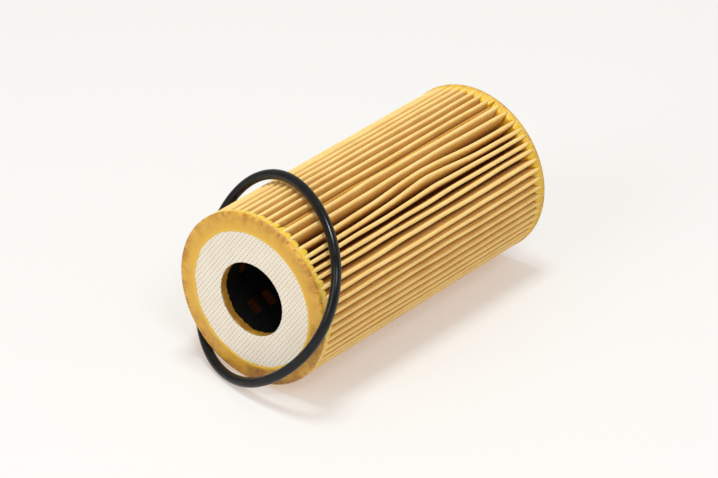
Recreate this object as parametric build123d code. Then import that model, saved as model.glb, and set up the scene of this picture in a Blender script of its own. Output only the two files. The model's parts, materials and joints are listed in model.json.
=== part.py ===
from build123d import *
import os
from math import acos, cos, degrees, radians, sin

# An oil filter cartridge lying on its side, with its loose seal ring leaning on its front end.
# Millimetres and degrees. The cartridge's axis is +Y and its front face is the plane Y = 0.
# Each piece is drawn standing on its front face, with its axis up, and laid down at the end.

# Cartridge
filter_diameter = 71.0      # over the pleat tips and the potted ends
filter_length = 140.0       # from face to face
bore_diameter = 30.4        # the hole in each end, for the housing's spigot

# Potted ends: the adhesive plate that closes the pleats, and how far the glue climbs them
plate_thickness = 2.0
potting_depth = 3.7
plate_edge_round = 1.2      # outer corner of each face
tip_relief = 0.8            # the climbing glue stops this far short of the pleat tips

# Fleece discs let into the two faces
disc_diameter = 56.0
disc_thickness = 0.8

# Centre tube
tube_lip = 0.5              # glue between the bore and the inside of the tube
tube_wall = 1.4
window_width = 6.5          # round the tube
window_height = 5.0         # along the tube
window_pitch = 8.6          # along the tube
window_margin = 7.0         # solid tube beyond the glue at each end
windows_round = 6           # an even number, because each cut goes through both walls
window_turn = 51.0

# Pleated paper
pleat_count = 60
paper_thickness = 0.6
pleat_width = 1.9           # across the folded tip
media_play = 0.2            # between the tube and the inner folds
seam_width = 0.9            # glue line that joins the two ends of the strip
seam_depth = 8.0
seam_pleat = 35             # counted from +X, over the top

# Seal ring
ring_section = 4.0
ring_room = 2.9             # between the cartridge and the inside of the ring, all round
ring_corner = 8.8           # how much tighter its three soft corners curve, and its flats less
ring_squeeze = (-2.2, 2.5, -0.3)    # added to the radii of each pair of facing arcs
ring_corner_turn = 14.5     # first soft corner, above the horizontal
ring_yaw = -18.9            # turned about the vertical
ring_rest_gap = 0.3         # over the top of the cartridge
ring_foot_ahead = 5.2       # its foot stands this far in front of the face
ring_offset = -2.05         # to the left of the cartridge's axis

filter_radius = filter_diameter / 2
bore_radius = bore_diameter / 2
disc_radius = disc_diameter / 2
tube_inner = bore_radius + tube_lip
tube_outer = tube_inner + tube_wall
media_inner = tube_outer + media_play
media_length = filter_length - 2 * plate_thickness
pleat_pitch = 360 / pleat_count

# What is left between neighbouring layers at the inner folds is shared by the gaps on both sides.
fold_room = (media_inner + paper_thickness) * sin(radians(pleat_pitch / 2)) - paper_thickness
groove_gap = fold_room / 2
groove_centre = media_inner + paper_thickness + groove_gap

laid_down = Plane(origin=(0, 0, 0), x_dir=(1, 0, 0), z_dir=(0, 1, 0)).location
middle = Plane.XY.offset(filter_length / 2)


def along(angle, distance, aside=0.0):
    """Point at a distance from the axis in one direction, then aside from that line."""
    a = radians(angle)
    return (distance * cos(a) - aside * sin(a), distance * sin(a) + aside * cos(a))


def collar(inner, outer, low, high):
    """Round sleeve about the axis, between two heights."""
    ring = Circle(outer) - Circle(inner)
    return extrude(Pos(0, 0, low) * ring, high - low)


def star(tip_half, groove_half):
    """Closed outline of all the folds.

    Each tip is half a circle that ends at the sheet's own edge, and each groove is half a circle
    about the same centre as the fold inside it, so that the sheet keeps its thickness round both.
    """
    tip_centre = filter_radius - pleat_width / 2
    edges = []
    for k in range(pleat_count):
        tip = k * pleat_pitch
        groove = tip + pleat_pitch / 2
        tip_end = along(tip, tip_centre, tip_half)
        groove_start = along(groove, groove_centre, -groove_half)
        groove_end = along(groove, groove_centre, groove_half)
        next_tip = along(tip + pleat_pitch, tip_centre, -tip_half)
        edges += [
            ThreePointArc(along(tip, tip_centre, -tip_half), along(tip, tip_centre + tip_half), tip_end),
            Line(tip_end, groove_start),
            ThreePointArc(groove_start, along(groove, groove_centre - groove_half), groove_end),
            Line(groove_end, next_tip),
        ]
    return make_face(Wire(edges))


outer_star = star(pleat_width / 2, groove_gap)
inner_star = star(pleat_width / 2 - paper_thickness, groove_gap + paper_thickness)
seam_line = Rot(0, 0, -seam_pleat * pleat_pitch) * Pos(filter_radius - seam_depth / 2, 0) * Rectangle(
    seam_depth + pleat_width, seam_width
)


def pleated_media():
    """One paper strip folded round the tube, open at the seam between its two ends."""
    return extrude(Pos(0, 0, plate_thickness) * (outer_star - inner_star - seam_line), media_length)


def media_seam():
    """Line of glue between the strip's two ends, flush with the tips of the other pleats."""
    return extrude(Pos(0, 0, plate_thickness) * (seam_line & outer_star), media_length)


def centre_tube():
    """Perforated tube that keeps the pleats from folding inwards."""
    tube = collar(tube_inner, tube_outer, plate_thickness, filter_length - plate_thickness)
    clear_length = filter_length - 2 * (potting_depth + window_margin)
    rows = 1 + int((clear_length - window_height) / window_pitch)
    first_row = (filter_length - (rows - 1) * window_pitch) / 2
    cuts = [
        Pos(0, 0, first_row + row * window_pitch)
        * Rot(0, 0, -window_turn - turn * 360 / windows_round)
        * Box(3 * tube_outer, window_width, window_height)
        for row in range(rows)
        for turn in range(windows_round // 2)
    ]
    return tube - cuts


def end_disc():
    """Fleece disc let into the front face."""
    return collar(bore_radius, disc_radius, 0, disc_thickness)


def adhesive(potted):
    """Front potting: a plate that closes the pleats' ends, and the glue that climbs among them."""
    plate = extrude(Circle(filter_radius), plate_thickness)
    plate = fillet(plate.edges().group_by(Axis.Z)[0], plate_edge_round)
    climb = extrude(
        Pos(0, 0, plate_thickness) * Circle(filter_radius - tip_relief), potting_depth - plate_thickness
    )
    bore = extrude(Circle(bore_radius), potting_depth)
    return plate + climb - bore - end_disc() - potted


def ring_path():
    """Centre line of the relaxed ring, in its own plane: six arcs of 60 degrees, each tangent to the next.

    Three soft corners alternate with three flats. Facing arcs differ by twice the corner term, and
    that is what lets the six arcs close.
    """
    mean_radius = filter_radius + ring_room + ring_section / 2
    arc_turn = 60
    radii = [mean_radius + ring_squeeze[i % 3] + (ring_corner if i % 2 else -ring_corner) for i in range(6)]
    arcs = []
    centre = Vector(0, 0)
    for i, radius in enumerate(radii):
        start = ring_corner_turn - arc_turn / 2 + i * arc_turn
        if i:
            centre += Vector(*along(start, radii[i - 1] - radius))
        arcs.append(CenterArc(centre, radius, start, arc_turn))
    path = Wire(arcs)
    return path.moved(Pos(-path.center(CenterOf.MASS)))


def seal_ring():
    """Rubber ring that stands on the floor and leans back over the top of the cartridge."""
    path = ring_path()
    ring = sweep(Plane(path @ 0, z_dir=path % 0) * Circle(ring_section / 2), path)
    height = path.bounding_box().size.Y
    lean = degrees(acos((filter_diameter + ring_rest_gap) / height))
    centre_y = height / 2 * sin(radians(lean)) * cos(radians(ring_yaw)) - ring_foot_ahead
    leaning = Rot(0, 0, ring_yaw) * Rot(90 - lean, 0, 0) * ring
    floor = -filter_radius
    return Pos(ring_offset, centre_y, floor - leaning.bounding_box().min.Z) * leaning


def main():
    media, seam, tube = pleated_media(), media_seam(), centre_tube()
    disc = end_disc()
    potting = adhesive([media, seam, tube])
    cartridge = {
        "pleated_media": media,
        "media_seam": seam,
        "centre_tube": tube,
        "front_end_disc": disc,
        "rear_end_disc": mirror(disc, about=middle),
        "front_adhesive": potting,
        "rear_adhesive": mirror(potting, about=middle),
    }
    pieces = {name: laid_down * piece for name, piece in cartridge.items()}
    pieces["seal_ring"] = seal_ring()
    os.makedirs("parts", exist_ok=True)
    for name, piece in pieces.items():
        export_step(piece, f"parts/{name}.step")


main()
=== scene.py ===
# %% [markdown]
# # A paper oil filter cartridge and its loose seal ring
#
# The cartridge is a pack of folded paper standing round a black support tube. Yellow potting closes
# both ends of the pack, and a cream fleece disc is let into each potted face. A rubber ring, which
# belongs in the groove of the housing's cap, leans on the front end.
#
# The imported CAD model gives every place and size. Its axis is +Y, and the front face is at Y = 0.
# Here only the looks are made: paper that wanders, glue that has climbed between the pleats,
# bonded fleece, moulded rubber, and a pale studio.

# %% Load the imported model
import json
import math
import bpy
import numpy as np
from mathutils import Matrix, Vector


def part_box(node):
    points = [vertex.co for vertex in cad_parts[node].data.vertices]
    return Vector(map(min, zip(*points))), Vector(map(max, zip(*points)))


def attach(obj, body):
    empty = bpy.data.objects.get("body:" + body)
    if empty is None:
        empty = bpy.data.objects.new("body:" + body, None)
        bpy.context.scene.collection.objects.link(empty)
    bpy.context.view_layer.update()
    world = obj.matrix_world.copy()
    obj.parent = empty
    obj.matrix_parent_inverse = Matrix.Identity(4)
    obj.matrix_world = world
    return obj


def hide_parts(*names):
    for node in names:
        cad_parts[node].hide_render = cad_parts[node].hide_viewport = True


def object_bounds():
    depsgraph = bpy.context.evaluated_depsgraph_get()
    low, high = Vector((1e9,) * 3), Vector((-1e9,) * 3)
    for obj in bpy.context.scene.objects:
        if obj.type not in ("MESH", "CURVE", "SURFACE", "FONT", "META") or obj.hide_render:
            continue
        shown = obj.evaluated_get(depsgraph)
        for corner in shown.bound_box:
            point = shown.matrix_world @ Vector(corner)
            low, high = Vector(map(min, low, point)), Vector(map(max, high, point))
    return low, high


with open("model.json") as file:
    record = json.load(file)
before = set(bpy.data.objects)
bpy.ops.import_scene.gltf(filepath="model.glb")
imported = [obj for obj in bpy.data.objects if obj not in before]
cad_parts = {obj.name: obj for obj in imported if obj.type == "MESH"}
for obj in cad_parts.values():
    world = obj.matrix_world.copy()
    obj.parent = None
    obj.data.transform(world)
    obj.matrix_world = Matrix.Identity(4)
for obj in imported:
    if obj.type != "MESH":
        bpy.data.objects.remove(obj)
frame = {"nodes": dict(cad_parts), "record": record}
cad_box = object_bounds()

# %% [markdown]
# ## Sizes
#
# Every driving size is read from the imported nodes, so the looks follow the design. The axis lies on
# x = z = 0, so the half-width of a round node's box is its radius. The few sizes that a box can't
# tell, such as the paper's thickness, are named here.

# %% Sizes read from the frame
mm = 0.001
front_low, front_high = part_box("front_adhesive")
disc_low, disc_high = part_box("front_end_disc")
radius = front_high.x
front_face, rear_face = front_low.y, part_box("rear_adhesive")[1].y
length = rear_face - front_face
media_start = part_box("pleated_media")[0].y
plate = media_start - front_face
glue_depth = front_high.y - front_face
disc_radius, disc_thickness = disc_high.x, disc_high.y - disc_low.y
tube_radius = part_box("centre_tube")[1].x
bore_radius = frame["record"]["mounts"][0]["dims"]["r_mm"] * mm
print(f"radius {radius:.4f}, length {length:.4f}, bore {bore_radius:.4f}, plate {plate:.4f} m")

# %% Sizes of the paper
pleats = 60
pitch = 360 / pleats
paper = 0.6 * mm
tip_width = 1.6 * mm
rear_rim = 1.5 * mm     # the glue covers the tips this far from the rear face
wall_bend = 0.8         # share of a bow that is bent into the outer half of the walls
inner_play = 0.2 * mm
seam_pleat = 35         # counted from +X, over the top
seam_half = 0.45 * mm
seam_quiet = 9          # degrees either side of the seam in which the tips stay even
bow_at, bow_share = 48, 0.565   # middle of the bow: degrees round, and share of the length
bow_angle = 5.0         # degrees bent there
pressed_tip = 12        # numbered from +X, over the top
dented_tips = [27, 44]
fold_inner = tube_radius + inner_play
groove_gap = ((fold_inner + paper) * math.sin(math.radians(pitch / 2)) - paper) / 2
groove_centre = fold_inner + paper + groove_gap

# %% [markdown]
# ## Tools for surfaces
#
# A piece is a grid of points: rows along one parameter and columns along the other. One helper
# turns such a grid into quads and closes it where it has to be closed. Another makes the mesh. It
# measures the volume by adding up the signed pyramids from the origin to every face. A negative
# sum means that the faces look inwards, and then each one is reversed.

# %% From grid to mesh
def grid_faces(rows, columns, close_rows=False, close_columns=False):
    """Quads of a grid, each joining a point to its neighbours in the next row and the next column."""
    index = np.arange(rows * columns).reshape(rows, columns)
    if close_rows:
        index = np.vstack([index, index[:1]])
    if close_columns:
        index = np.hstack([index, index[:, :1]])
    quads = [index[:-1, :-1], index[:-1, 1:], index[1:, 1:], index[1:, :-1]]
    return np.stack(quads, axis=-1).reshape(-1, 4)


def signed_volume(points, quads):
    """Sum over the triangles of p0 . (p1 x p2) / 6."""
    a, b, c, d = (points[quads[:, i]] for i in range(4))
    return (np.sum(a * np.cross(b, c)) + np.sum(a * np.cross(c, d))) / 6


def solid(name, points, quads, **attributes):
    """Mesh object of a closed surface: smooth faces that look outwards, and values at its points."""
    points = points.reshape(-1, 3)
    if signed_volume(points, quads) < 0:
        quads = quads[:, ::-1]
    mesh = bpy.data.meshes.new(name)
    mesh.vertices.add(len(points))
    mesh.vertices.foreach_set("co", points.astype(np.float32).ravel())
    mesh.loops.add(quads.size)
    mesh.loops.foreach_set("vertex_index", quads.astype(np.int32).ravel())
    mesh.polygons.add(len(quads))
    mesh.polygons.foreach_set("loop_start", np.arange(0, quads.size, 4, dtype=np.int32))
    mesh.polygons.foreach_set("use_smooth", np.ones(len(quads), dtype=bool))
    mesh.update(calc_edges=True)
    for key, values in attributes.items():
        layer = mesh.attributes.new(key, "FLOAT", "POINT")
        layer.data.foreach_set("value", np.asarray(values, dtype=np.float32).ravel())
    mesh.validate()
    piece = bpy.data.objects.new(name, mesh)
    bpy.context.scene.collection.objects.link(piece)
    print(name, len(points), "points,", 2 * len(quads), "triangles, volume cm3",
          round(abs(signed_volume(points, quads)) * 1e6, 2))
    return piece


# %% Round the axis
def around(angle, distance, aside=0.0):
    """x and z of a point: out from the axis at an angle in degrees, then aside at right angles."""
    a = np.radians(angle)
    x = distance * np.cos(a) - aside * np.sin(a)
    z = distance * np.sin(a) + aside * np.cos(a)
    return np.stack(np.broadcast_arrays(x, z), axis=-1)


def lift(flat, y):
    """Points in space from x, z pairs and their place along the axis."""
    y = np.broadcast_to(y, flat.shape[:-1])
    return np.stack([flat[..., 0], y, flat[..., 1]], axis=-1)


def soft_step(value, low, high):
    """0 below low, 1 above high, and 3t2 - 2t3 between them."""
    t = np.clip((value - low) / (high - low), 0, 1)
    return t * t * (3 - 2 * t)


def wander(t, seed, turns, shape=()):
    """Smooth random wave over t from 0 to 1, about 1 in size: a sum of sines with random phases.

    Sine number n makes turns * n waves, and its height is 1 / n. shape adds independent waves.
    """
    rng = np.random.default_rng(seed)
    total = np.zeros(np.shape(t) + tuple(shape))
    for n in range(1, 5):
        phase = rng.uniform(0, 2 * np.pi, shape)
        angle = 2 * np.pi * turns * n * np.asarray(t).reshape(np.shape(t) + (1,) * len(shape))
        total += np.sin(angle + phase) / n
    return total / 1.2


# %% [markdown]
# ## The folded paper
#
# A machine creases the strip at even steps and bends it round the tube. The inner folds are packed
# side by side and stay even. The outer tips are free until the potting sets, so they lean, crowd
# together in some places and open up in others. In the middle of the cartridge nothing holds them
# at all, and a few bow sideways there.
#
# The fold lines could be drawn by hand or folded by simulation, but a formula keeps the paper's
# thickness and lets each lean be chosen. So each row of the strip is a path round the cartridge:
# half a circle at every tip, a wall, half a smaller circle at every inner fold, and a wall back
# out. Only the tips' angles change, and they are a function of the place along the axis: an even
# share, plus a nudge that stays the same from end to end, plus a bow and a small wander that
# vanish at the glue.

# %% Where each tip stands
def away_from_seam(even):
    """0 at the seam and 1 away from it, by angles in degrees."""
    return 1 - np.exp(-(((even - seam_pleat * pitch) / seam_quiet) ** 2))


def tip_nudge():
    """Degrees that each tip leans from its even place: chosen crowds and gaps, and chance elsewhere."""
    even = np.arange(pleats) * pitch
    place = (even + 180) % 360 - 180
    chosen_at = [-30, 0, 18, 30, 36, 42, 48, 54, 60, 66, 72, 78, 84, 102, 120]
    chosen = [0, -0.8, -0.7, 0.8, 0, -0.7, -2.2, -1.5, 0.8, 1.5, -0.4, -2.5, -2.2, -1.5, 0]
    nudge = np.interp(place, chosen_at, chosen)
    chance = np.random.default_rng(11).normal(0, 0.55, pleats)
    free = np.where((place > -30) & (place < 108), 0.0, 1.0)
    return nudge + chance * free * away_from_seam(even)


def even_angles():
    """Angle in degrees of every tip where the glue holds it."""
    return np.arange(pleats) * pitch + tip_nudge()


def tip_angles(y):
    """Angles in degrees of every tip at places y along the axis: one row for each place."""
    share = (y - front_face) / length
    even = np.arange(pleats) * pitch
    bow_width = np.where(even < bow_at, 6.5, 11)
    round_bow = np.exp(-(((even - bow_at) / bow_width) ** 2))
    along_bow = np.exp(-((np.abs(share[:, None] - bow_share) / 0.2) ** 1.5))
    held = np.sin(np.pi * np.clip(share, 0, 1)) ** 0.7
    drift = 0.36 * wander(share, 21, 1.3, (pleats,)) * held[:, None] * away_from_seam(even)
    return even_angles() + bow_angle * round_bow * along_bow + drift


def tip_radii():
    """Most tips reach the full radius; one in the open stretch was pressed in, and two a little."""
    short = np.random.default_rng(5).uniform(0.05, 0.30, pleats) * mm
    short[pressed_tip] = 2.4 * mm
    short[dented_tips] = 1.0 * mm
    return radius - short


print("tips lean by up to", round(float(np.abs(tip_nudge()).max()), 2), "degrees")

# %% [markdown]
# The same path is worked out twice, once for each side of the paper. At a tip the outer side
# runs round half the tip's width and the inner side one paper thickness less; at an inner fold
# it is the other way round. Each half circle turns about the same centre on both sides, so the
# paper keeps its thickness. Where a tip has bowed, its walls bend half-way up instead of leaning
# from the root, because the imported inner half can't move. The strip starts and ends at the seam,
# where glue fills the gap between its two ends.

# %% One side of the folded strip
def fold_side(y, tip_half, groove_half, tip_steps=8, groove_steps=4):
    """x and z along one side of the strip: a row for each place y, and columns along the strip."""
    order = (seam_pleat + 1 + np.arange(pleats - 1)) % pleats
    grooves = (seam_pleat + 0.5 + np.arange(pleats)) * pitch
    seam_angle = seam_pleat * pitch
    half_tip = np.radians(np.linspace(-90, 90, tip_steps))
    half_groove = np.radians(np.linspace(-90, 90, groove_steps))

    tip = around(tip_angles(y)[:, order], tip_radii()[order] - tip_width / 2)
    root = around(order * pitch, groove_centre)
    stem = tip - root
    stem /= np.linalg.norm(stem, axis=-1, keepdims=True)
    side = np.stack([-stem[..., 1], stem[..., 0]], axis=-1)
    turn = np.cos(half_tip)[:, None], np.sin(half_tip)[:, None]
    tips = tip[:, :, None] + tip_half * (turn[0] * stem[:, :, None] + turn[1] * side[:, :, None])

    turns = around(grooves[:, None], groove_centre - groove_half * np.cos(half_groove),
                   groove_half * np.sin(half_groove))
    folds = np.broadcast_to(turns, (len(y),) + turns.shape)

    flap = max(tip_half, seam_half)
    start = np.broadcast_to(around(seam_angle, radius - 0.1 * mm, flap), (len(y), 1, 2))
    end = np.broadcast_to(around(seam_angle, radius - 0.1 * mm, -flap), (len(y), 1, 2))
    outs = np.concatenate([start[:, None], tips[:, :, -1:]], axis=1)
    ins = np.concatenate([tips[:, :, :1], end[:, None]], axis=1)
    rest = around(even_angles()[order], tip_radii()[order] - tip_width / 2)
    bend = wall_bend * (rest - tip)[:, :, None] / 2
    still = np.zeros_like(bend[:, :1])
    wall_in = (outs + folds[:, :, :1]) / 2 + np.concatenate([still, bend], axis=1)
    wall_out = (folds[:, :, -1:] + ins) / 2 + np.concatenate([bend, still], axis=1)
    body = np.concatenate([wall_in[:, :-1], folds[:, :-1], wall_out[:, :-1], tips], axis=2)
    last = np.concatenate([wall_in[:, -1], folds[:, -1], wall_out[:, -1], end], axis=1)
    return np.concatenate([start, body.reshape(len(y), -1, 2), last], axis=1)


# %% The strip as a closed solid
def make_paper(rows=52):
    """Outer side, then inner side backwards, round each row; the two ends of every row are capped."""
    y = np.linspace(media_start, rear_face - rear_rim + 0.1 * mm, rows)
    outer = fold_side(y, tip_width / 2, groove_gap)
    inner = fold_side(y, tip_width / 2 - paper, groove_gap + paper)
    ring = np.concatenate([outer, inner[:, ::-1]], axis=1)
    columns = ring.shape[1]
    walls = grid_faces(rows, columns, close_columns=True)
    near = np.arange(columns // 2 - 1)
    cap = np.stack([near, near + 1, columns - 2 - near, columns - 1 - near], axis=-1)
    far_cap = cap[:, ::-1] + (rows - 1) * columns
    reach = np.linalg.norm(ring, axis=-1)
    # partly the paler crease and partly a painted highlight on the outer walls, where the light falls
    crest = soft_step(reach, radius - 1.8 * mm, radius - 0.5 * mm)
    # deep: painted shade, 1 down in the valleys and 0 near the tips
    deep = 1 - soft_step(reach, radius - 4.5 * mm, radius - 0.8 * mm)
    # painted shade on the side of the packed folds that faces the tube
    core = 1 - soft_step(reach, fold_inner + paper, fold_inner + 3 * mm)
    core[:, :columns // 2] = 0
    quads = np.concatenate([walls, cap[:, ::-1], far_cap[:, ::-1]])
    return solid("folded_paper", lift(ring, y[:, None]), quads, crest=crest, deep=deep, core=core)


folded_paper = make_paper()
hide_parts("pleated_media")
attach(folded_paper, "cartridge")

# %% [markdown]
# ## The potting
#
# The ends of the pack stand in a shallow mould of foaming polyurethane. It sets into a flat plate
# with a rounded edge, and while it rises it climbs between the pleats in small domes. Inside, it
# lines the edge of the bore, where its lip is a little wavy.
#
# It could be a plate with sixty lumps joined to it, but then every joint would show. So the
# surface is one closed band round the axis. A column goes once round the section of the band:
# up the bore, out across the face, round the edge, along the rim, over the dome and back inwards.
# Columns are spread evenly between neighbouring tips, so every dome gets the same number of points
# however far apart its two pleats are.

# %% Section of the potting
edge_round = 1.2 * mm
dome_fall = 1.1 * mm
bead_radius = disc_radius + 0.35 * mm
# The patch centred here is partly real stain and partly a painted shadow of the seal ring.
stain_and_shadow_at, stain_and_shadow_width = -65, 66     # degrees round: where the glue is stained most


def dome_heights(phase, seed):
    """Height of the glue above the plate: a lump of chance height in every gap, nothing at the tips."""
    rng = np.random.default_rng(seed)
    tall = rng.uniform(2.2, 4.1, pleats) * mm
    across = np.abs(phase % 1 - 0.5) / 0.46
    return tall[phase.astype(int) % pleats] * np.clip(1 - across**3, 0, 1)


def potting_section(phase, seed, rim, shoulder):
    """Radius and depth below the face for each row of the band, as two grids of rows by columns.

    The rim reaches to the depth rim, and the glue behind it lies lower by the shoulder.
    """
    turn = phase / pleats
    ones = np.ones_like(phase)
    lip = glue_depth + 0.22 * mm * wander(turn, seed + 1, 9) + 0.08 * mm * wander(turn, seed + 6, 37)
    rim_end = rim + 0.08 * mm * wander(turn, seed + 2, 23)
    dome = dome_heights(phase, seed)
    rows = [(bore_radius * ones, lip * (1 - s) + disc_thickness * 0.5 * s) for s in np.linspace(0, 1, 6)]
    rows += [((disc_radius - 1.2 * mm) * ones, disc_thickness * 0.5 * ones)]
    ripple = 0.05 * mm * wander(turn, seed + 3, 7)
    face_start, face_end = disc_radius - 0.9 * mm, radius - edge_round
    for r in np.linspace(face_start, face_end, 24):
        sunk = disc_thickness * 0.5 * (1 - soft_step(r, face_start, disc_radius + 0.2 * mm))
        bead = 0.14 * mm * np.exp(-(((r - bead_radius) / (0.35 * mm)) ** 2))
        swell = 0.05 * mm * wander(turn + 40 * r, seed + 4, 3)
        rows.append((r * ones, sunk - bead + (swell + ripple) * soft_step(r, disc_radius, face_end)))
    for a in np.radians([18, 36, 54, 72, 90]):
        rows.append(((face_end + edge_round * np.sin(a)) * ones, edge_round * (1 - np.cos(a)) * ones))
    for s in (0.4, 0.75, 1.0):
        rows.append((radius * ones, edge_round + (rim_end - edge_round) * s))
    for a in np.radians([12, 27, 42, 57, 73, 90]):
        out = radius - shoulder - dome_fall * (1 - np.cos(a))
        rows.append((out * ones, rim_end + dome * np.sin(a) ** 0.8))
    for r in np.linspace(radius - 2.2 * dome_fall, fold_inner + 2 * mm, 4):
        rows.append((r * ones, rim_end + dome))
    rows += [(fold_inner * ones, glue_depth * ones), ((bore_radius + 0.35 * mm) * ones, lip + 0.05 * mm)]
    return np.array(rows).transpose(1, 0, 2)


# %% [markdown]
# Four looks are worked out here, once for every point, and carried as attributes, because they
# follow the pleats and no plain noise could. Where a pleat ends just under the face, the edges of
# its two layers show through the glue as short brown streaks: stain. Stain also holds a wide darker
# patch on the face round -65 degrees, partly real stain and partly a painted shadow of the seal ring.
# The glue is thin and bright on the lumps, on the bead round the disc and on the lip of the bore:
# bright. Amber clouds lie towards the outer edge and on that patch, and the whole bore wall is amber
# as painted shade: cloud. On the rim the glue is only a skin over the tips, and the paper shows
# through: skin.

# %% Looks of the potting
def potting_looks(phase, angle, reach, depth, seed):
    """Stain, bright, cloud and skin, each from 0 to 1, at every point of the band."""
    rng = np.random.default_rng(seed + 9)
    turn = phase / pleats
    long = rng.uniform(0.5, 2.8, (pleats + 1, 2)) * mm
    dark = rng.uniform(0.45, 1.0, (pleats + 1, 2))
    near = np.round(phase).astype(int)
    from_edge = radius - reach
    from_tip = phase - near - 0.06 * wander(turn, seed + 5, 17)
    from_tip = from_tip - 0.05 * from_edge / mm * wander(turn, seed + 11, 5)
    layer = (from_tip > 0).astype(int)
    thin = np.exp(-(((np.abs(from_tip) - 0.14) / 0.075) ** 2))
    inside = 1 - soft_step(depth, 0.9 * mm, 1.3 * mm)
    reach_in = 1 - soft_step(from_edge, 0.4 * long[near, layer], long[near, layer])
    stain = dark[near, layer] * thin * inside * reach_in
    rusty = soft_step(wander(turn, seed + 12, 8) + 0.5 * wander(turn, seed + 13, 41), -0.6, 1.0)
    edge_line = (1 - soft_step(from_edge, 0.15 * mm, 0.9 * mm)) * inside
    stain = np.maximum(stain, 0.40 * rusty * edge_line)
    # patch round -65 degrees: partly real stain, partly a painted shadow of the seal ring
    low = np.exp(-((((angle - stain_and_shadow_at + 180) % 360 - 180) / stain_and_shadow_width) ** 2))
    patches = wander(turn, seed + 7, 6) + 0.4 * wander(turn + 60 * reach, seed + 8, 19)
    patches = soft_step(patches, -0.7, 0.8)
    on_face = soft_step(reach, disc_radius, disc_radius + 2 * mm)
    # the patch darkens the face: partly stain, partly painted shadow
    stain = np.maximum(stain, 0.75 * low * patches * on_face * inside)
    bright = soft_step(depth, 0.8 * mm, 2.4 * mm) * soft_step(reach, disc_radius, disc_radius + mm)
    bead = np.exp(-(((reach - bead_radius) / (0.4 * mm)) ** 2))
    bead = bead * (1 - soft_step(depth, 0.3 * mm, 0.6 * mm))
    at_bore = 1 - soft_step(reach, bore_radius, bore_radius + 0.5 * mm)
    lip = at_bore * soft_step(depth, 3.1 * mm, 3.5 * mm)
    bright = np.maximum(np.maximum(bright, 0.6 * bead), 0.8 * lip)
    cloud = soft_step(reach, disc_radius + mm, radius - mm) * (0.75 + 0.25 * wander(turn, seed + 10, 31))
    # cloud also takes the patch round -65 degrees, partly painted shadow, and the whole bore wall, which
    # is painted shade
    cloud = np.maximum(np.maximum(cloud, low * on_face), at_bore)
    skin = np.exp(-(((phase - near) / 0.16) ** 2)) * soft_step(depth, 1.0 * mm, 1.8 * mm)
    skin = skin * soft_step(reach, radius - mm, radius - 0.2 * mm)
    return dict(stain=stain, bright=bright, cloud=np.clip(cloud, 0, 1), skin=skin)


# %% Make both pottings
def make_potting(name, face, inward, seed, rim, shoulder, shine, steps=26):
    """Closed band round the axis with its face at y = face; its depth runs along y times inward."""
    phase = np.arange(pleats * steps) / steps
    tips = tip_angles(np.array([face]))[0]
    angle = np.interp(phase, np.arange(pleats + 1), np.append(tips, tips[0] + 360))
    reach, depth = potting_section(phase, seed, rim, shoulder)
    looks = potting_looks(phase, angle, reach, depth, seed)
    looks["bright"] *= shine
    points = lift(around(angle, reach), face + inward * depth)
    quads = grid_faces(*reach.shape, close_rows=True, close_columns=True)
    return solid(name, points, quads, **looks)


front_glue = make_potting("front_potting", front_face, inward=1, seed=31,
                          rim=plate + 0.12 * mm, shoulder=0.12 * mm, shine=1.0)
rear_glue = make_potting("rear_potting", rear_face, inward=-1, seed=47,
                         rim=rear_rim, shoulder=0.45 * mm, shine=0.7)
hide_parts("front_adhesive")
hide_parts("rear_adhesive")
for glue in (front_glue, rear_glue):
    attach(glue, "cartridge")

# %% [markdown]
# ## The fleece discs
#
# The discs are punched from polyester fleece, which is bonded by pressing it between hot
# rollers with a square grid of small pins. Each pin leaves a dimple. The dimples could be a bump
# in the material alone, but then the exported mesh would be flat. So the disc is a round plate
# whose height has an elliptical pit in each cell of that grid, and its rim sinks unevenly into
# the glue.

# %% Bonded fleece
bond_pitch = 1.55 * mm
bond_turn = math.radians(37)
pit_width, pit_height = 0.21, 0.24      # shares of the pitch


def bond_pits(x, z):
    """1 in the middle of each bond point and 0 between: exp(-(a/w)2 - (b/v)2) in a turned grid."""
    a = (x * math.cos(bond_turn) - z * math.sin(bond_turn)) / bond_pitch
    b = (x * math.sin(bond_turn) + z * math.cos(bond_turn)) / bond_pitch
    a, b = a - np.round(a), b - np.round(b)
    return np.exp(-((a / pit_width) ** 2) - (b / pit_height) ** 2)


def make_fleece(name, face, inward, seed):
    """Round plate with a hole: rows go out across the pitted top, down the rim and back underneath."""
    turns = 900
    angle = np.arange(turns) * 360 / turns
    share = np.arange(turns) / turns
    reach = np.linspace(bore_radius + 0.15 * mm, disc_radius - 0.1 * mm, 84)[:, None]
    flat = around(angle[None], reach)
    sink = soft_step(reach, disc_radius - 0.55 * mm, disc_radius - 0.1 * mm)
    uneven = 0.12 * mm * wander(share, seed, 13)[None]
    pits = 0.09 * mm * bond_pits(flat[..., 0], flat[..., 1])
    bore_edge = soft_step(reach, bore_radius + 0.15 * mm, bore_radius + 0.6 * mm)
    top = pits + 0.02 * mm + sink * (0.10 * mm + uneven) + 0.10 * mm * (1 - bore_edge)
    low = disc_thickness * 0.9
    rim = [(disc_radius, 0.25 * mm), (disc_radius, low), (bore_radius, low), (bore_radius, 0.12 * mm)]
    rows = [(flat, top)] + [(around(angle[None], np.full((1, 1), r)), d) for r, d in rim]
    points = np.concatenate([lift(f, face + inward * d) for f, d in rows])
    quads = grid_faces(points.shape[0], turns, close_rows=True, close_columns=True)
    return solid(name, points, quads)


front_fleece = make_fleece("front_fleece", front_face, inward=1, seed=61)
rear_fleece = make_fleece("rear_fleece", rear_face, inward=-1, seed=67)
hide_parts("front_end_disc")
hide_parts("rear_end_disc")
for disc in (front_fleece, rear_fleece):
    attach(disc, "cartridge")

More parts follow.
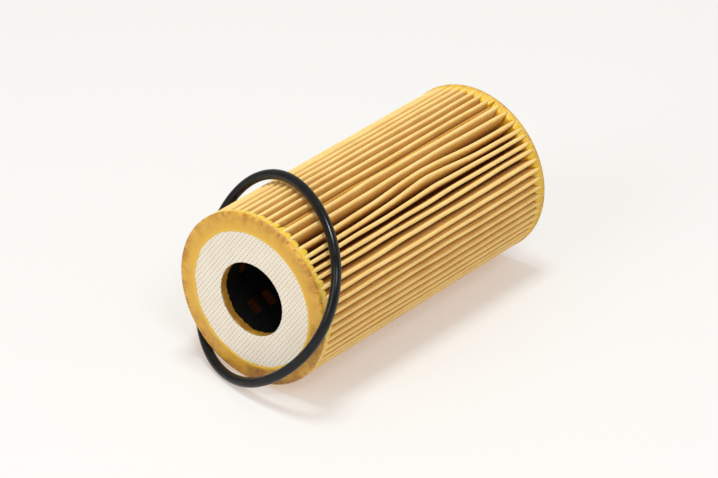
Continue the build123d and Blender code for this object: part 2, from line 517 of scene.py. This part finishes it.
# %% [markdown]
# ## The seal ring
#
# A moulded ring has a thin flash line where the two halves of the mould met, round its inside
# and its outside. The ring lies relaxed and not quite round, so its centre line is taken
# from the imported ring: the plane that its points lie closest to, and in that plane a radius that
# is a mean plus five pairs of sines and cosines, fitted by least squares.

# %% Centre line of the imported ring
def ring_centre_line(steps, waves=6):
    """Points of the centre line, with the outward and sideways directions there."""
    mesh = frame["nodes"]["seal_ring"].data
    points = np.empty(len(mesh.vertices) * 3, np.float32)
    mesh.vertices.foreach_get("co", points)
    points = np.unique(points.reshape(-1, 3).round(7), axis=0).astype(float)
    centre = (points.min(0) + points.max(0)) / 2
    across, up, normal = np.linalg.svd(points - centre, full_matrices=False)[2]

    def columns(angle):
        pairs = [f(n * angle) for n in range(1, waves) for f in (np.cos, np.sin)]
        return np.stack([np.ones_like(angle)] + pairs, axis=1)

    local = (points - centre) @ np.stack([across, up], axis=1)
    angle, distance = np.arctan2(local[:, 1], local[:, 0]), np.hypot(local[:, 0], local[:, 1])
    fit = np.linalg.lstsq(columns(angle), distance, rcond=None)[0]
    height = float(((points - centre) @ normal).mean())
    turn = np.arange(steps) * 2 * np.pi / steps
    out = np.cos(turn)[:, None] * across + np.sin(turn)[:, None] * up
    line = centre + height * normal + (columns(turn) @ fit)[:, None] * out
    along = np.roll(line, -1, axis=0) - np.roll(line, 1, axis=0)
    outward = np.cross(along, normal)
    outward /= np.linalg.norm(outward, axis=1, keepdims=True)
    outward *= np.sign(np.sum(outward * out, axis=1, keepdims=True))
    return line, outward, normal


# %% The ring with its flash line
ring_half = 2.0 * mm
flash = 0.08 * mm


def make_ring(steps=420, section_steps=72):
    """Circle carried round the centre line, a little higher where the mould parted: 0 and 180 degrees."""
    line, outward, normal = ring_centre_line(steps)
    a = np.arange(section_steps) * 2 * np.pi / section_steps
    ridge = flash * np.exp(-((np.sin(a) / 0.10) ** 2))
    reach = ring_half - flash / 2 + ridge
    out = (reach * np.cos(a))[None, :, None] * outward[:, None]
    points = line[:, None] + out + (reach * np.sin(a))[None, :, None] * normal
    quads = grid_faces(steps, section_steps, close_rows=True, close_columns=True)
    parting = np.broadcast_to(np.exp(-((np.sin(a) / 0.12) ** 2)), (steps, section_steps))
    return solid("rubber_ring", points, quads, parting=parting)


rubber_ring = make_ring()
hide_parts("seal_ring")
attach(rubber_ring, "seal")

# %% [markdown]
# ## Finishes
#
# Painted images could carry these colours, but noise stays sharp however close the view comes.
# So all patterns are built from noise on Object coordinates, in metres, or from the attributes
# above, and they stay on the piece. A small helper adds a node and fills its inputs: a value is
# set on the socket, and another node's output is linked to it. The other helpers are the few
# steps that every finish repeats.

# %% Node helper
def node(material, kind, inputs=None, **settings):
    """New node of a kind, with settings on the node and inputs by name or number."""
    made = material.node_tree.nodes.new(kind)
    for key, value in settings.items():
        setattr(made, key, value)
    for key, value in (inputs or {}).items():
        if isinstance(value, bpy.types.NodeSocket):
            material.node_tree.links.new(value, made.inputs[key])
        else:
            made.inputs[key].default_value = value
    return made


def finish_named(name):
    """New material, its shader, and the Object coordinates that its patterns read."""
    material = bpy.data.materials.new(name)
    material.use_nodes = True
    shader = material.node_tree.nodes["Principled BSDF"]
    return material, shader, node(material, "ShaderNodeTexCoord").outputs["Object"]


def connect(material, output, target):
    """Link from a node's output to another node's input."""
    material.node_tree.links.new(output, target)


def blend_colours(material, factor, first, second):
    """Mix of two colours; each may be a colour or another node's output."""
    mix = node(material, "ShaderNodeMix", {"Factor": factor}, data_type="RGBA")
    for socket, value in ((mix.inputs[6], first), (mix.inputs[7], second)):
        if isinstance(value, bpy.types.NodeSocket):
            connect(material, value, socket)
        else:
            socket.default_value = (*value, 1)
    return mix.outputs[2]


def carried(material, name):
    """A look that the piece carries as an attribute."""
    return node(material, "ShaderNodeAttribute", attribute_name=name).outputs["Fac"]


def times(material, first, second):
    """Product of two numbers."""
    return node(material, "ShaderNodeMath", {0: first, 1: second}, operation="MULTIPLY").outputs[0]


def vector_math(material, operation, first, second=None):
    """Vector node for one operation on one or two vectors."""
    inputs = {0: first} if second is None else {0: first, 1: second}
    return node(material, "ShaderNodeVectorMath", inputs, operation=operation)


def dent(material, shader, height, strength, deep):
    """Fine relief from a pattern, too small for the mesh."""
    bump = node(material, "ShaderNodeBump", {"Height": height, "Strength": strength, "Distance": deep})
    connect(material, bump.outputs[0], shader.inputs["Normal"])


def noise(material, coords, scale, detail=3.0, stretch=None, rough=0.55):
    """Noise of about 1 / scale metres, drawn out where a share of stretch is small."""
    if stretch:
        coords = node(material, "ShaderNodeMapping", {"Vector": coords, "Scale": stretch}).outputs[0]
    made = node(material, "ShaderNodeTexNoise",
                {"Vector": coords, "Scale": scale, "Detail": detail, "Roughness": rough})
    return made.outputs["Fac"]


def between(material, value, low, high, out_low=0.0, out_high=1.0):
    """Value mapped from low..high to out_low..out_high, smoothly and clamped."""
    made = node(material, "ShaderNodeMapRange", {"Value": value, "From Min": low, "From Max": high,
                                                 "To Min": out_low, "To Max": out_high},
                interpolation_type="SMOOTHSTEP")
    return made.outputs[0]


def dress(piece, material):
    """The material in the piece's first slot, or in every slot that it has."""
    if not piece.material_slots:
        piece.data.materials.append(material)
    for place in piece.material_slots:
        place.material = material
    print(piece.name, "is dressed in", material.name)


# %% [markdown]
# ### Filter paper
#
# Resin-treated cellulose: warm tan, matt, with fine fibres and faint clouds. The creases are
# paler than the walls, because folding breaks the resin there; the pale band also covers the outer
# 1.8 mm of the walls as a painted highlight where the light falls. Light passes a little way into
# the paper, which keeps the valleys orange instead of grey; a trace of painted glow stands for what
# gets through several layers. Deeper in the valleys the walls turn dark brown, which is painted
# shade. Near both ends the paper has drunk glue and turns yellow. The side of the packed folds that
# faces the tube is a dark reddish brown, close to black: painted shade.

# %% Filter paper
# the valley brown is painted shade
wall_tan, wall_pale, valley_shade_brown = (0.71, 0.362, 0.042), (0.79, 0.435, 0.067), (0.24, 0.065, 0.006)
# the crease colours are partly the paler crease and partly a painted highlight
crease_and_highlight_tan, crease_and_highlight_pale, fibre_pale = (0.80, 0.54, 0.185), (0.86, 0.615, 0.24), (0.91, 0.69, 0.33)
# the packed brown is painted shade
glue_soaked, packed_shade_brown = (0.86, 0.57, 0.10), (0.015, 0.004, 0.002)


def paper_finish():
    """Walls, then painted valley shade and creases that are partly painted highlight, by depth, then
    fibres, then the ends that drank glue, then the painted shade of the packed folds.
    """
    material, shader, coords = finish_named("filter_paper")
    clouds = noise(material, coords, 90, 3)
    fibres = noise(material, coords, 1500, 4, stretch=(1, 0.35, 1), rough=0.7)
    faint = between(material, clouds, 0.3, 0.7)
    wall = blend_colours(material, faint, wall_tan, wall_pale)
    # painted shade: the walls darken towards brown deeper in the valleys, by the deep attribute
    wall = blend_colours(material, carried(material, "deep"), wall, valley_shade_brown)
    # pale creases: partly real, partly a painted highlight on the lit outer walls
    ridge = blend_colours(material, faint, crease_and_highlight_tan, crease_and_highlight_pale)
    tan = blend_colours(material, carried(material, "crest"), wall, ridge)
    tan = blend_colours(material, between(material, fibres, 0.4, 0.8, 0, 0.25), tan, fibre_pale)
    place = node(material, "ShaderNodeSeparateXYZ", {"Vector": coords}).outputs["Y"]
    front = between(material, place, front_face + plate, front_face + plate + 3 * mm, 1, 0)
    rear = between(material, place, rear_face - plate - 4 * mm, rear_face - plate, 0, 1)
    soaked = node(material, "ShaderNodeMath", {0: front, 1: rear}, operation="MAXIMUM").outputs[0]
    colour = blend_colours(material, times(material, soaked, 0.6), tan, glue_soaked)
    # painted shade: the packed folds against the tube turn nearly black
    colour = blend_colours(material, carried(material, "core"), colour, packed_shade_brown)
    connect(material, colour, shader.inputs["Base Color"])
    shader.inputs["Roughness"].default_value = 0.85
    shader.inputs["Specular IOR Level"].default_value = 0.25
    shader.inputs["Subsurface Weight"].default_value = 0.3
    shader.inputs["Subsurface Radius"].default_value = (1.0, 0.5, 0.15)
    shader.inputs["Subsurface Scale"].default_value = 0.5 * mm
    shader.inputs["Emission Color"].default_value = (1.0, 0.22, 0.03, 1)
    shader.inputs["Emission Strength"].default_value = 0.010
    dent(material, shader, fibres, 0.35, 0.05 * mm)
    return material


dress(folded_paper, paper_finish())

# %% [markdown]
# ### Potting
#
# Honey-coloured and slightly cloudy, so light scatters inside it. Its thin parts are lemon yellow,
# by the bright attribute; the brown streaks and amber patches come from stain and cloud, which also
# carry a painted shadow of the seal ring and painted shade on the bore wall.

# %% Potting
honey_yellow, amber, streak_brown = (0.73, 0.415, 0.045), (0.50, 0.22, 0.023), (0.16, 0.05, 0.012)
thin_yellow, grain_brown, over_paper = (0.80, 0.55, 0.045), (0.22, 0.085, 0.015), (0.84, 0.57, 0.17)


def potting_finish():
    """Honey, clouded with amber, then streaks, thin bright parts, grains and the skin on the tips."""
    material, shader, coords = finish_named("potting")
    clouds = noise(material, coords, 160, 4)
    specks = noise(material, coords, 900, 3)
    cloud = carried(material, "cloud")
    # amber mottling, which includes the painted ring shadow and the painted shade on the bore wall
    mottled = times(material, between(material, clouds, 0.38, 0.58, 0.15, 1.0), cloud)
    honey = blend_colours(material, mottled, honey_yellow, amber)
    ragged = between(material, specks, 0.3, 0.6, 0.35, 1.0)
    # stain here includes the painted shadow of the seal ring
    stain = times(material, carried(material, "stain"), ragged)
    honey = blend_colours(material, stain, honey, streak_brown)
    colour = blend_colours(material, carried(material, "bright"), honey, thin_yellow)
    grains = noise(material, coords, 700, 2, rough=0.5)
    grain = times(material, between(material, grains, 0.62, 0.74, 0, 0.6), cloud)
    colour = blend_colours(material, grain, colour, grain_brown)
    colour = blend_colours(material, carried(material, "skin"), colour, over_paper)
    connect(material, colour, shader.inputs["Base Color"])
    connect(material, between(material, clouds, 0.3, 0.7, 0.38, 0.55), shader.inputs["Roughness"])
    shader.inputs["Subsurface Weight"].default_value = 0.4
    shader.inputs["Subsurface Radius"].default_value = (1.0, 0.55, 0.12)
    shader.inputs["Subsurface Scale"].default_value = 1.0 * mm
    dent(material, shader, specks, 0.3, 0.1 * mm)
    return material


potting_material = potting_finish()
dress(front_glue, potting_material)
dress(rear_glue, potting_material)

# %% [markdown]
# ### Fleece
#
# Cream polyester, matt and soft. Pressed fibres are darker, so the colour repeats the grid of bond
# points: a Mapping node turns and scales the Object coordinates to one unit a cell, the same way
# as the mesh was pitted, and the dark spots fall on the pits.

# %% Fleece
cream_dark, cream_pale = (0.795, 0.71, 0.575), (0.835, 0.755, 0.63)
loose_fibres, pressed_fibres = (0.88, 0.82, 0.72), (0.45, 0.385, 0.30)


def fleece_finish():
    """Cream with loose pale fibres, and a dark ellipse at the nearest whole step of the grid."""
    material, shader, coords = finish_named("fleece")
    cells = node(material, "ShaderNodeMapping", {"Vector": coords, "Rotation": (0, -bond_turn, 0),
                                                 "Scale": (1 / bond_pitch,) * 3}).outputs[0]
    nearest = vector_math(material, "ADD", cells, (0.5, 0.5, 0.5)).outputs[0]
    nearest = vector_math(material, "FLOOR", nearest).outputs[0]
    offset = vector_math(material, "SUBTRACT", cells, nearest).outputs[0]
    shaped = vector_math(material, "MULTIPLY", offset, (1 / pit_width, 0, 1 / pit_height)).outputs[0]
    distance = vector_math(material, "LENGTH", shaped).outputs["Value"]
    pit = between(material, distance, 0.5, 1.3, 1, 0)
    fibres = noise(material, coords, 2200, 5, rough=0.7)
    clouds = noise(material, coords, 120, 2)
    faint, pale = between(material, clouds, 0.3, 0.7), between(material, fibres, 0.35, 0.7, 0, 0.4)
    cream = blend_colours(material, faint, cream_dark, cream_pale)
    cream = blend_colours(material, pale, cream, loose_fibres)
    pit = times(material, pit, between(material, fibres, 0.3, 0.6, 0.55, 1.0))
    colour = blend_colours(material, pit, cream, pressed_fibres)
    connect(material, colour, shader.inputs["Base Color"])
    shader.inputs["Roughness"].default_value = 0.9
    shader.inputs["Specular IOR Level"].default_value = 0.2
    dent(material, shader, fibres, 0.4, 0.05 * mm)
    return material


fleece_material = fleece_finish()
dress(front_fleece, fleece_material)
dress(rear_fleece, fleece_material)

# %% [markdown]
# ### Rubber
#
# Nearly black nitrile rubber, satin where it was moulded, with a fine bloom of dust and a
# duller, rougher flash line. Its colour says little: the shape of the gloss makes it rubber, so
# most of the work is in the roughness.

# %% Rubber
clean_black, dusty_black, flash_grey = (0.004, 0.004, 0.005), (0.009, 0.009, 0.009), (0.022, 0.021, 0.020)


def rubber_finish():
    """Black with a bloom of dust; roughness = a cloudy satin + 0.15 where the mould parted."""
    material, shader, coords = finish_named("seal_rubber")
    bloom = noise(material, coords, 220, 4)
    grain = noise(material, coords, 3000, 3)
    parting = carried(material, "parting")
    dusty = between(material, bloom, 0.35, 0.75)
    black = blend_colours(material, dusty, clean_black, dusty_black)
    colour = blend_colours(material, parting, black, flash_grey)
    connect(material, colour, shader.inputs["Base Color"])
    shader.inputs["Specular IOR Level"].default_value = 0.25
    satin = between(material, bloom, 0.3, 0.7, 0.17, 0.25)
    rough = node(material, "ShaderNodeMath", {0: parting, 1: 0.15, 2: satin}, operation="MULTIPLY_ADD")
    connect(material, rough.outputs[0], shader.inputs["Roughness"])
    dent(material, shader, grain, 0.15, 0.02 * mm)
    return material


dress(rubber_ring, rubber_finish())

# %% [markdown]
# ### Tube and seam
#
# The support tube is moulded in black nylon; only its inside shows, through the bore. The seam is
# the same family of glue as the potting, in a thin bead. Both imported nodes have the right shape,
# so they only get a material.

# %% Tube and seam
def nylon_finish():
    """Black with faint clouds."""
    material, shader, coords = finish_named("black_nylon")
    clouds = noise(material, coords, 400, 4)
    connect(material, blend_colours(material, clouds, (0.003, 0.003, 0.003), (0.008, 0.007, 0.007)),
            shader.inputs["Base Color"])
    shader.inputs["Specular IOR Level"].default_value = 0.2
    connect(material, between(material, clouds, 0.3, 0.7, 0.45, 0.65), shader.inputs["Roughness"])
    dent(material, shader, clouds, 0.2, 0.05 * mm)
    return material


def seam_finish():
    """Amber with faint clouds, a little translucent."""
    material, shader, coords = finish_named("seam_glue")
    clouds = noise(material, coords, 300, 3)
    connect(material, blend_colours(material, clouds, (0.70, 0.42, 0.10), (0.85, 0.60, 0.22)),
            shader.inputs["Base Color"])
    shader.inputs["Roughness"].default_value = 0.4
    shader.inputs["Subsurface Weight"].default_value = 0.3
    shader.inputs["Subsurface Scale"].default_value = 1 * mm
    return material


dress(frame["nodes"]["centre_tube"], nylon_finish())
dress(frame["nodes"]["media_seam"], seam_finish())

# %% [markdown]
# ## Studio
#
# A plain pale floor inside a light tent: a bright surround fills the shadows, one lamp nearly
# overhead draws the clear edge of the shadow, and weaker soft ones stand round the cartridge. The
# floor is a thin white sheet lit from below as well, so it glows a little, and that lifts the
# shadows and warms them.

# %% Floor
floor_half = 3.0
floor_mesh = bpy.data.meshes.new("floor")
signs = ((-1, -1), (1, -1), (1, 1), (-1, 1))
floor_corners = [(x * floor_half, y * floor_half, cad_box[0][2]) for x, y in signs]
floor_mesh.from_pydata(floor_corners, [], [(0, 1, 2, 3)])
floor = bpy.data.objects.new("floor", floor_mesh)
bpy.context.scene.collection.objects.link(floor)
floor_material, floor_shader, _ = finish_named("pale_floor")
floor_shader.inputs["Base Color"].default_value = (0.419, 0.478, 0.482, 1)
floor_shader.inputs["Emission Color"].default_value = (1.0, 0.80, 0.71, 1)
floor_shader.inputs["Emission Strength"].default_value = 0.44
floor_shader.inputs["Roughness"].default_value = 0.6
dress(floor, floor_material)
print("floor at", round(cad_box[0][2], 4), "m, the lowest point of the packed model")

# %% Lamps and surround
middle = Vector((0, front_face + length / 2, 0))


def soft_lamp(name, place, size, watts, colour=(1, 1, 1)):
    """Square area lamp that looks at the middle of the cartridge."""
    data = bpy.data.lights.new(name, "AREA")
    data.shape, data.size, data.energy, data.color = "SQUARE", size, watts, colour
    lamp = bpy.data.objects.new(name, data)
    lamp.location = place
    lamp.rotation_euler = (middle - Vector(place)).to_track_quat("-Z", "Y").to_euler()
    bpy.context.scene.collection.objects.link(lamp)
    return lamp


soft_lamp("top", (-0.04, 0.07, 1.55), 0.4, 13, (0.96, 1.0, 1.03))
soft_lamp("front", (-0.3, -1.6, 0.9), 1.0, 10)
soft_lamp("right", (0.95, -0.6, 1.25), 0.5, 7)
world = bpy.data.worlds.new("white_surround")
world.use_nodes = True
world.node_tree.nodes["Background"].inputs[0].default_value = (1.0, 0.99, 0.97, 1)
world.node_tree.nodes["Background"].inputs[1].default_value = 0.47
bpy.context.scene.world = world
bpy.context.scene.view_settings.view_transform = "Standard"

# %% [markdown]
# ## Camera
#
# A long lens, high on the front right, looks at a point near the middle of the cartridge, and
# from so far off its sides stay nearly parallel. The azimuth is how far the camera has gone round
# from straight in front of the face towards the right.

# %% Camera
azimuth, elevation = math.radians(38.6), math.radians(28.5)
distance = 1.575
aim = Vector((0, front_face + 0.0655, -0.0017))
flat = Vector((math.sin(azimuth), -math.cos(azimuth), 0))
back = flat * math.cos(elevation) + Vector((0, 0, math.sin(elevation)))
camera_data = bpy.data.cameras.new("camera")
camera_data.lens, camera_data.sensor_width = 202.6, 36
camera = bpy.data.objects.new("camera", camera_data)
camera.location = aim + back * distance
camera.rotation_euler = (-back).to_track_quat("-Z", "Y").to_euler()
bpy.context.scene.collection.objects.link(camera)
bpy.context.scene.camera = camera
print("camera", tuple(round(c, 3) for c in camera.location), "m, lens", camera_data.lens, "mm")
